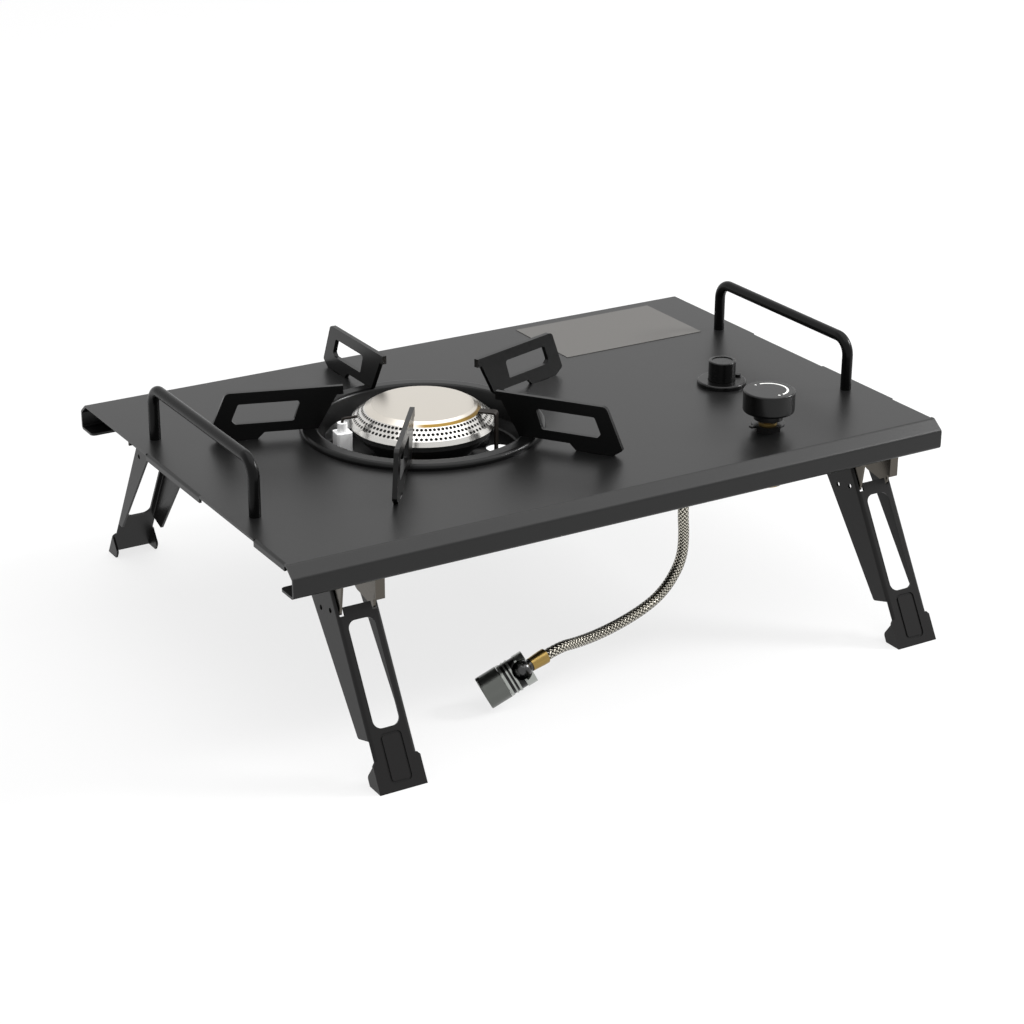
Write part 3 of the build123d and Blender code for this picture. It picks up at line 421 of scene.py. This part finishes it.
def arc_outline(centre, radius, width, start, end, steps):
    """Outline of a flat arc band, ends in degrees, counter-clockwise."""
    angles = [math.radians(start + (end - start) * index / steps) for index in range(steps + 1)]
    outer = [(radius + width / 2, angle) for angle in angles]
    inner = [(radius - width / 2, angle) for angle in reversed(angles)]
    return [(centre.x + r * math.cos(a), centre.y + r * math.sin(a)) for r, a in outer + inner]


def settle(thing, body, slot, *replaced):
    """Puts a finished piece on its body and hides the nodes that it stands for; the slot is not used."""
    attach(thing, body)
    if replaced:
        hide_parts(*replaced)


# Colours and sizes that a user would change


class StoveColours(bpy.types.PropertyGroup):
    """Colours of the finishes."""

    coat: tone("Coat", "Powder coat of the table plate", "#121212")
    rod: tone("Rod paint", "Paint of the handles", "#070707")
    enamel: tone("Enamel", "Enamel of the pot support and the drip pan", "#070707")
    legs: tone("Leg paint", "Paint of the legs and the valve's nut", "#121111")
    nickel: tone("Nickel", "Plating of the leg brackets and pins", "#57534d")
    skirt: tone("Skirt steel", "Stainless steel of the flame skirt", "#cfcdc9")
    cap: tone("Cap steel", "Stainless steel of the burner cap", "#d4cec4")
    straw: tone("Heat tint", "Tint on the rim of the burner cap", "#7d6430")
    brass: tone("Brass", "Valve, jet, burner screws, inlet pipe and ferrules", "#957d49")
    casting: tone("Casting", "Paint of the burner bowl", "#121212")
    browned: tone("Browned steel", "Strap and electrode wire", "#1d1712")
    ceramic: tone("Ceramic", "Glaze of the electrode", "#ffffff")
    plastic: tone("Plastic", "Knob, washer and igniter", "#040404")
    ink: tone("Ink", "Printed mark on the knob", "#f1f1ee")
    sheet: tone("Sheet", "Bare sheet on the plate", "#666461")
    zinc: tone("Zinc", "Plating of the handle screws", "#b5b5b4")
    collar: tone("Collar", "Anodised collar of the connector", "#636562")
    connector: tone("Connector", "Anodised body of the connector", "#a2a5a1")
    # Painted shade for the connector's shallow grooves
    groove_shade: tone("Grooves", "Grooves around the connector's body", "#2a2a2a")
    swivel: tone("Swivel", "Anodised ball of the connector", "#474747")
    aluminium: tone("Aluminium", "Mixing tube", "#c2c3c4")
    rubber: tone("Rubber", "Seal in the connector's collar", "#131313")
    wire: tone("Wire", "Crowns of the hose's braid", "#e6e1d3")
    # Painted shade in the gaps between the braid's bundles
    wire_gap_shade: tone("Wire gaps", "Gaps between the bundles of the hose's braid", "#17150f")
    floor: tone("Floor", "Colour of the floor", "#767676")


class StoveTableSizes(bpy.types.PropertyGroup):
    """Bare sheet on the table's back corner."""

    sheet_left: bpy.props.FloatProperty(
        name="Sheet left", description="Left edge of the bare sheet", default=89 * MM, unit="LENGTH"
    )
    sheet_right: bpy.props.FloatProperty(
        name="Sheet right", description="Right edge of the bare sheet", default=200 * MM, unit="LENGTH"
    )
    sheet_front: bpy.props.FloatProperty(
        name="Sheet front", description="Front edge of the bare sheet", default=70 * MM, unit="LENGTH"
    )
    sheet_back: bpy.props.FloatProperty(
        name="Sheet back", description="Back edge of the bare sheet", default=138 * MM, unit="LENGTH"
    )
    sheet_height: bpy.props.FloatProperty(
        name="Sheet height", description="Thickness of the bare sheet", default=0.3 * MM, unit="LENGTH"
    )


class StoveBurnerSizes(bpy.types.PropertyGroup):
    """Perforated skirt of the burner."""

    holes: bpy.props.IntProperty(name="Holes", description="Flame holes in one row", default=90)
    rows: bpy.props.IntProperty(name="Rows", description="Rows of flame holes", default=3)
    hole_radius: bpy.props.FloatProperty(
        name="Hole radius", description="Radius of a flame hole", default=1.1 * MM, unit="LENGTH"
    )
    band_height: bpy.props.FloatProperty(
        name="Band height", description="Plain band below the holes", default=3.0 * MM, unit="LENGTH"
    )
    band_flare: bpy.props.FloatProperty(
        name="Band flare", description="How far the band spreads to its foot", default=1.6 * MM,
        unit="LENGTH",
    )
    top_radius: bpy.props.FloatProperty(
        name="Top radius", description="Radius where the skirt meets the cap", default=36.9 * MM,
        unit="LENGTH",
    )
    sheet: bpy.props.FloatProperty(
        name="Sheet", description="Thickness of the skirt's sheet", default=0.8 * MM, unit="LENGTH"
    )


class StoveKnobSizes(bpy.types.PropertyGroup):
    """Printed mark on the knob."""

    mark_radius: bpy.props.FloatProperty(
        name="Mark radius", description="Radius of the printed arc", default=11.5 * MM, unit="LENGTH"
    )
    mark_width: bpy.props.FloatProperty(
        name="Mark width", description="Width of the printed arc", default=1.3 * MM, unit="LENGTH"
    )
    mark_height: bpy.props.FloatProperty(
        name="Mark height", description="Thickness of the print", default=0.06 * MM, unit="LENGTH"
    )


class StoveHoseSizes(bpy.types.PropertyGroup):
    """Braided hose."""

    diameter: bpy.props.FloatProperty(
        name="Diameter", description="Outside of the braid", default=7.0 * MM, unit="LENGTH"
    )
    length: bpy.props.FloatProperty(
        name="Length", description="Length of the hose between its ferrules", default=169.6 * MM,
        unit="LENGTH",
    )
    bundles: bpy.props.IntProperty(
        name="Bundles", description="Wire bundles around the hose, each way", default=8
    )
    bundle_pitch: bpy.props.FloatProperty(
        name="Bundle pitch", description="Distance between bundles along the hose", default=2.6 * MM,
        unit="LENGTH",
    )


class StoveStageSizes(bpy.types.PropertyGroup):
    """Camera."""

    lens: bpy.props.FloatProperty(
        name="Lens", description="Focal length on a 36 mm sensor, in millimetres", default=86.77
    )
    eye: bpy.props.FloatVectorProperty(
        name="Eye", description="Place of the camera", default=(-0.7641, -1.2755, 0.6824),
        subtype="TRANSLATION",
    )
    heading: bpy.props.FloatProperty(
        name="Heading", description="Turn of the camera about the vertical", default=math.radians(-31.04),
        subtype="ANGLE",
    )
    drop: bpy.props.FloatProperty(
        name="Drop", description="How far the camera looks down", default=math.radians(22.76),
        subtype="ANGLE",
    )
    roll: bpy.props.FloatProperty(
        name="Roll", description="Turn of the camera about its view", default=math.radians(0.316),
        subtype="ANGLE",
    )


# Pieces


class StoveTable(bpy.types.Operator):
    """Finishes of the table plate, handles and screws, and the bare sheet on the plate"""

    bl_idname = "stove.table"
    bl_label = "Table"

    def execute(self, context):
        dress(powder_coat(), "top_plate")
        dress(rod_paint(), "left_handle", "right_handle")
        dress(zinc_plate(), "handle_screws")
        sizes = context.scene.stove_table
        level = top_of("top_plate")
        outline = [
            (sizes.sheet_left, sizes.sheet_front),
            (sizes.sheet_right, sizes.sheet_front),
            (sizes.sheet_right, sizes.sheet_back),
            (sizes.sheet_left, sizes.sheet_back),
        ]
        sheet = plate_mesh("bare_sheet", outline, level, level + sizes.sheet_height, brushed_sheet())
        settle(sheet, TABLE, "aluminium")
        return {"FINISHED"}


class StovePotSupport(bpy.types.Operator):
    """Finish of the lift-off ring and its claws"""

    bl_idname = "stove.pot_support"
    bl_label = "Pot support"

    def execute(self, context):
        dress(fired_enamel(), "support_ring", *CLAWS)
        return {"FINISHED"}


# Corners and edge middles of a cell of the skirt, counter-clockwise, as (side, rise) from its middle
CELL_FRAME = [(1, 0), (1, 1), (0, 1), (-1, 1), (-1, 0), (-1, -1), (0, -1), (1, -1)]
# Points of the skirt that are nearer to each other than this are one
MERGE_GAP = 0.02 * MM


def flame_cell(lower, upper, hole, turn):
    """Points and faces of one cell between two (radius, level) rings, with a hole in its middle."""
    slope = Vector((upper[0] - lower[0], upper[1] - lower[1]))
    middle = (lower[0] + upper[0]) / 2
    across = hole / (middle * turn / 2)
    upward = hole / (slope.length / 2)

    def place(side, rise):
        share = (rise + 1) / 2
        radius = lower[0] + slope.x * share
        level = lower[1] + slope.y * share
        angle = side * turn / 2
        return (radius * math.cos(angle), radius * math.sin(angle), level)

    count = len(CELL_FRAME)
    points = [place(side, rise) for side, rise in CELL_FRAME]
    for index in range(count):
        angle = index * math.tau / count
        points.append(place(across * math.cos(angle), upward * math.sin(angle)))
    faces = [(i, (i + 1) % count, count + (i + 1) % count, count + i) for i in range(count)]
    return points, faces


def around_tree(material):
    """Geometry Nodes tree that repeats a cell around the Z axis."""
    tree = bpy.data.node_groups.new("cells_around", "GeometryNodeTree")
    face = tree.interface
    face.new_socket("Cell", in_out="INPUT", socket_type="NodeSocketGeometry")
    count_socket = face.new_socket("Count", in_out="INPUT", socket_type="NodeSocketInt")
    phase_socket = face.new_socket("Phase", in_out="INPUT", socket_type="NodeSocketFloat")
    face.new_socket("Ring", in_out="OUTPUT", socket_type="NodeSocketGeometry")
    entry = add_node(tree, "NodeGroupInput")
    points = add_node(tree, "GeometryNodePoints", links={"Count": entry.outputs["Count"]})
    index = add_node(tree, "GeometryNodeInputIndex")
    shifted = add_node(
        tree, "ShaderNodeMath", links={0: index.outputs[0], 1: entry.outputs["Phase"]}, operation="ADD"
    )
    share = add_node(
        tree, "ShaderNodeMath", links={0: shifted.outputs[0], 1: entry.outputs["Count"]}, operation="DIVIDE"
    )
    angle = add_node(tree, "ShaderNodeMath", {1: math.tau}, {0: share.outputs[0]}, operation="MULTIPLY")
    turn = add_node(tree, "ShaderNodeCombineXYZ", links={"Z": angle.outputs[0]})
    copies = add_node(
        tree, "GeometryNodeInstanceOnPoints",
        links={"Points": points.outputs[0], "Instance": entry.outputs["Cell"], "Rotation": turn.outputs[0]},
    )
    solid = add_node(tree, "GeometryNodeRealizeInstances", links={0: copies.outputs[0]})
    painted = add_node(
        tree, "GeometryNodeSetMaterial", {"Material": material}, {"Geometry": solid.outputs[0]}
    )
    add_node(tree, "NodeGroupOutput", links={"Ring": painted.outputs[0]})
    return tree, count_socket.identifier, phase_socket.identifier


def ring_of_cells(name, cell, tree, inputs, material):
    """Plain mesh of a cell that a tree has repeated."""
    thing = mesh_object(name, *cell, material)
    repeat = thing.modifiers.new("cells", "NODES")
    repeat.node_group = tree
    for identifier, value in inputs.items():
        repeat[identifier] = value
    ready = thing.evaluated_get(bpy.context.evaluated_depsgraph_get())
    mesh = bpy.data.meshes.new_from_object(ready)
    bpy.data.objects.remove(thing)
    return mesh


def add_band(shell, lower, upper, count):
    """Adds a plain band of faces between two (radius, level) rings."""
    for index in range(count):
        start, end = (edge * math.tau / count for edge in (index, index + 1))
        spots = ((*lower, start), (*lower, end), (*upper, end), (*upper, start))
        corners = [(radius * math.cos(a), radius * math.sin(a), level) for radius, level, a in spots]
        shell.faces.new([shell.verts.new(corner) for corner in corners])


def skirt_mesh(sizes, steel):
    """Sheet of the skirt: a plain flared band at its foot and rows of flame holes above it."""
    low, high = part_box("burner_skirt")
    centre = middle_of("burner_skirt")
    foot = radius_of("burner_skirt")
    cone = foot - sizes.band_flare
    band_top = low.z + sizes.band_height
    shell = bmesh.new()
    add_band(shell, (foot, low.z), (cone, band_top), sizes.holes * 2)
    rings = []
    for edge in range(sizes.rows + 1):
        share = edge / sizes.rows
        rings.append((cone + share * (sizes.top_radius - cone), band_top + share * (high.z - band_top)))
    tree, count_key, phase_key = around_tree(steel)
    for row in range(sizes.rows):
        cell = flame_cell(rings[row], rings[row + 1], sizes.hole_radius, math.tau / sizes.holes)
        inputs = {count_key: sizes.holes, phase_key: row / 2}
        mesh = ring_of_cells("flame_row", cell, tree, inputs, steel)
        shell.from_mesh(mesh)
        bpy.data.meshes.remove(mesh)
    bmesh.ops.remove_doubles(shell, verts=shell.verts, dist=MERGE_GAP)
    bmesh.ops.recalc_face_normals(shell, faces=shell.faces)
    bmesh.ops.translate(shell, verts=shell.verts, vec=(centre.x, centre.y, 0.0))
    mesh = bpy.data.meshes.new("flame_skirt")
    shell.to_mesh(mesh)
    shell.free()
    mesh.materials.append(steel)
    return mesh


class StoveBurner(bpy.types.Operator):
    """Burner with its perforated skirt, pan, strap, electrode and gas way"""

    bl_idname = "stove.burner"
    bl_label = "Burner"

    def execute(self, context):
        dress(fired_enamel(), "drip_pan")
        dress(painted_casting(), "burner_base")
        dress(turned_brass(), "burner_screws", "gas_jet")
        dress(heat_tinted_stainless(), "burner_cap")
        dress(browned_steel(), "burner_strap", "electrode_wire")
        dress(glazed_ceramic(), "electrode_ceramic")
        dress(bare_aluminium(), "mixing_tube")
        sizes = context.scene.stove_burner
        skirt = bpy.data.objects.new("flame_skirt", skirt_mesh(sizes, polished_stainless()))
        context.scene.collection.objects.link(skirt)
        wall = skirt.modifiers.new("wall", "SOLIDIFY")
        wall.thickness = sizes.sheet
        wall.offset = -1.0
        settle(skirt, TABLE, "stainless", "burner_skirt")
        return {"FINISHED"}


# Printed bands of the knob's mark: name, both ends in degrees, and steps between them
MARKS = (
    ("mark_arc", -80.0, 85.0, 40),
    ("mark_dot", 100.0, 105.0, 4),
    ("mark_dash", -98.0, -91.0, 4),
)


class StoveControls(bpy.types.Operator):
    """Valve, knob with its printed mark, and igniter"""

    bl_idname = "stove.controls"
    bl_label = "Controls"

    def execute(self, context):
        black = moulded_abs()
        dress(turned_brass(), "valve_body", "valve_stem")
        dress(stoving_paint(), "valve_nut")
        dress(black, "valve_washer", "control_knob")
        dress(black, "igniter_bezel", "igniter_case", "igniter_nut", "igniter_button")
        sizes = context.scene.stove_knob
        centre = middle_of("control_knob")
        level = top_of("control_knob")
        ink = white_print()
        for name, start, end, steps in MARKS:
            outline = arc_outline(centre, sizes.mark_radius, sizes.mark_width, start, end, steps)
            mark = plate_mesh(name, outline, level, level + sizes.mark_height, ink)
            settle(mark, "control_knob", "plastic_black")
        return {"FINISHED"}


class StoveLegs(bpy.types.Operator):
    """Finishes of the folding legs, their brackets and pins"""

    bl_idname = "stove.legs"
    bl_label = "Legs"

    def execute(self, context):
        dress(stoving_paint(), *LEGS)
        dress(nickel_plate(), "hinge_pins", *BRACKETS)
        return {"FINISHED"}


# The hose's line in millimetres, from the ferrule under the table to the connector's ferrule
HOSE_LINE = [
    (63.0, -109.0, 95.0),
    (63.0, -109.0, 82.5),
    (63.9, -109.6, 69.2),
    (61.0, -112.2, 54.7),
    (51.2, -114.7, 42.2),
    (38.6, -118.0, 34.5),
    (21.3, -122.6, 30.4),
    (1.6, -127.9, 28.4),
    (-16.9, -133.0, 28.2),
    (-33.2, -136.9, 29.0),
    (-45.0, -138.0, 29.8),
    (-56.1, -138.9, 26.8),
]
# Order of the hose's curve, and how finely it is drawn along and around
HOSE_ORDER = 3
HOSE_STEPS = 16
HOSE_ROUNDNESS = 8


class StoveHose(bpy.types.Operator):
    """Braided hose with its ferrules and the canister connector"""

    bl_idname = "stove.hose"
    bl_label = "Hose"

    def execute(self, context):
        dress(turned_brass(), "inlet_pipe", "inlet_ferrule", "connector_ferrule")
        dress(black_anodised(), "connector_swivel")
        dress(anodised_with_painted_groove_shade(), "connector_body")
        dress(grey_anodised(), "connector_collar")
        dress(moulded_rubber(), "canister_seal")
        sizes = context.scene.stove_hose
        curve = bpy.data.curves.new("braided_hose", "CURVE")
        curve.dimensions = "3D"
        curve.bevel_depth = sizes.diameter / 2
        curve.bevel_resolution = HOSE_ROUNDNESS
        curve.resolution_u = HOSE_STEPS
        curve.use_fill_caps = True
        line = curve.splines.new("NURBS")
        line.points.add(len(HOSE_LINE) - 1)
        for point, place in zip(line.points, HOSE_LINE):
            point.co = (*[value * MM for value in place], 1.0)
        line.order_u = HOSE_ORDER
        line.use_endpoint_u = True
        curve.materials.append(wire_braid())
        hose = bpy.data.objects.new("braided_hose", curve)
        context.scene.collection.objects.link(hose)
        settle(hose, TABLE, "braid", "hose")
        return {"FINISHED"}


# Stage, in metres and watts

FLOOR_REACH = 12.0
FLOOR_ROUGHNESS = 0.9
# Glow of the floor in soft light, and where it is seen
FLOOR_GLOW = (0.2, 0.765)
WHITE = linear("#ffffff")
# Level of the surroundings by height, from the horizon to overhead
SKY_LEVELS = ((0.0, 0.75), (0.3, 0.8), (0.335, 1.0), (0.45, 0.4), (0.75, 1.0), (1.0, 0.6))
# How the surroundings change towards a side: its direction and the (reach, level) pairs between which they do
FRONT_SHADE = ((-0.51, -0.86, 0.0), (-0.1, 1.0), (0.7, 0.8))
RIGHT_SHADE = ((0.985, 0.174, 0.0), (0.64, 1.0), (0.74, 0.35))
BACK_GLOW = ((0.545, 0.77, 0.333), (0.97, 0.0), (1.0, 1.3))
# Lamps: name, place, the point that they face, size and power
LAMPS = (
    ("overhead", (0.25, -0.15, 2.2), (0.0, 0.0, 0.0), 2.6, 32.0),
    ("key", (1.9, -0.6, 1.3), (0.0, 0.0, 0.1), 0.5, 40.0),
)
SENSOR_WIDTH_MM = 36.0
VIEW_REACH = 60.0


def straight_rays(tree):
    """Socket that is 1 for what the camera sees, also in metal and through glass, and 0 for soft light."""
    path = add_node(tree, "ShaderNodeLightPath")
    shown = path.outputs["Is Camera Ray"]
    for way in ("Is Glossy Ray", "Is Transmission Ray"):
        both = add_node(tree, "ShaderNodeMath", links={0: shown, 1: path.outputs[way]}, operation="MAXIMUM")
        shown = both.outputs[0]
    return shown


def studio_floor():
    """Matt studio floor: it glows where it is seen, so that it shows white with pale shadows."""
    material, tree, shader = start_material("studio_floor", tones().floor, FLOOR_ROUGHNESS)
    shader.inputs["Emission Color"].default_value = WHITE
    soft, seen = FLOOR_GLOW
    glow = add_node(
        tree, "ShaderNodeMapRange", {"To Min": soft, "To Max": seen}, {"Value": straight_rays(tree)}
    )
    tree.links.new(glow.outputs["Result"], shader.inputs["Emission Strength"])
    return material


def studio_world():
    """Soft light that is stronger behind the stove and weaker to the right; plain white where it is seen."""
    world = bpy.data.worlds.new("studio")
    world.use_nodes = True
    tree = world.node_tree
    tree.nodes.clear()
    place = add_node(tree, "ShaderNodeTexCoord").outputs["Generated"]
    parts = add_node(tree, "ShaderNodeSeparateXYZ", links={0: place})
    ramp = add_node(tree, "ShaderNodeValToRGB", links={0: parts.outputs["Z"]})
    fill_ramp(ramp, [(height, (level, level, level, 1.0)) for height, level in SKY_LEVELS])
    shade = level_along(tree, place, *FRONT_SHADE)
    side = level_along(tree, place, *RIGHT_SHADE)
    glow = level_along(tree, place, *BACK_GLOW, interpolation_type="SMOOTHSTEP")
    level = add_node(tree, "ShaderNodeMath", links={0: shade, 1: glow}, operation="ADD")
    total = add_node(tree, "ShaderNodeMath", links={0: level.outputs[0], 1: side}, operation="MULTIPLY")
    sky = add_node(
        tree, "ShaderNodeBackground", links={"Color": ramp.outputs["Color"], "Strength": total.outputs[0]}
    )
    white = add_node(tree, "ShaderNodeBackground", {"Color": WHITE, "Strength": 1.0})
    seen = add_node(
        tree, "ShaderNodeMixShader", links={0: straight_rays(tree), 1: sky.outputs[0], 2: white.outputs[0]}
    )
    add_node(tree, "ShaderNodeOutputWorld", links={"Surface": seen.outputs[0]})
    return world


def lamp(name, place, target, size, power):
    """Soft square lamp that faces a point."""
    light = bpy.data.lights.new(name, "AREA")
    light.size = size
    light.energy = power
    thing = bpy.data.objects.new(name, light)
    thing.location = place
    thing.rotation_euler = (Vector(target) - Vector(place)).to_track_quat("-Z", "Y").to_euler()
    bpy.context.scene.collection.objects.link(thing)
    return thing


class StoveStage(bpy.types.Operator):
    """White floor, soft lamps, surroundings and the photograph's camera"""

    bl_idname = "stove.stage"
    bl_label = "Stage"

    def execute(self, context):
        scene = context.scene
        sizes = scene.stove_stage
        scene.view_settings.view_transform = "Standard"
        scene.world = studio_world()
        signs = ((-1, -1), (1, -1), (1, 1), (-1, 1))
        corners = [(x * FLOOR_REACH, y * FLOOR_REACH, 0.0) for x, y in signs]
        floor = mesh_object("floor", corners, [(0, 1, 2, 3)], studio_floor())
        lamps = [lamp(*entry) for entry in LAMPS]
        camera = bpy.data.cameras.new("camera")
        camera.lens = sizes.lens
        camera.sensor_width = SENSOR_WIDTH_MM
        camera.clip_end = VIEW_REACH
        eye = bpy.data.objects.new("camera", camera)
        eye.location = sizes.eye
        heading = Matrix.Rotation(sizes.heading, 3, "Z")
        tilt = Matrix.Rotation(math.pi / 2 - sizes.drop, 3, "X")
        roll = Matrix.Rotation(sizes.roll, 3, "Z")
        eye.rotation_euler = (heading @ tilt @ roll).to_euler()
        scene.collection.objects.link(eye)
        scene.camera = eye
        return {"FINISHED"}


class StovePanel(bpy.types.Panel):
    """Lists the stove's pieces"""

    bl_idname = "VIEW3D_PT_stove"
    bl_label = "Portable gas stove"
    bl_space_type = "VIEW_3D"
    bl_region_type = "UI"
    bl_category = "Stove"

    def draw(self, context):
        for operator in OPERATORS:
            self.layout.operator(operator.bl_idname)


GROUPS = {
    "stove_colours": StoveColours,
    "stove_table": StoveTableSizes,
    "stove_burner": StoveBurnerSizes,
    "stove_knob": StoveKnobSizes,
    "stove_hose": StoveHoseSizes,
    "stove_stage": StoveStageSizes,
}
OPERATORS = [
    StoveTable, StovePotSupport, StoveBurner, StoveControls, StoveLegs, StoveHose, StoveStage,
]


def register():
    """Registers the colours, sizes, operators and panel."""
    for name, group in GROUPS.items():
        bpy.utils.register_class(group)
        setattr(bpy.types.Scene, name, bpy.props.PointerProperty(type=group))
    for kind in (*OPERATORS, StovePanel):
        bpy.utils.register_class(kind)


def unregister():
    """Takes the colours, sizes, operators and panel away again."""
    for kind in (StovePanel, *reversed(OPERATORS)):
        bpy.utils.unregister_class(kind)
    for name, group in GROUPS.items():
        delattr(bpy.types.Scene, name)
        bpy.utils.unregister_class(group)


def main():
    """Makes every piece and the stage."""
    register()
    bpy.ops.stove.table()
    bpy.ops.stove.pot_support()
    bpy.ops.stove.burner()
    bpy.ops.stove.controls()
    bpy.ops.stove.legs()
    bpy.ops.stove.hose()
    bpy.ops.stove.stage()


if __name__ == "__main__":
    main()
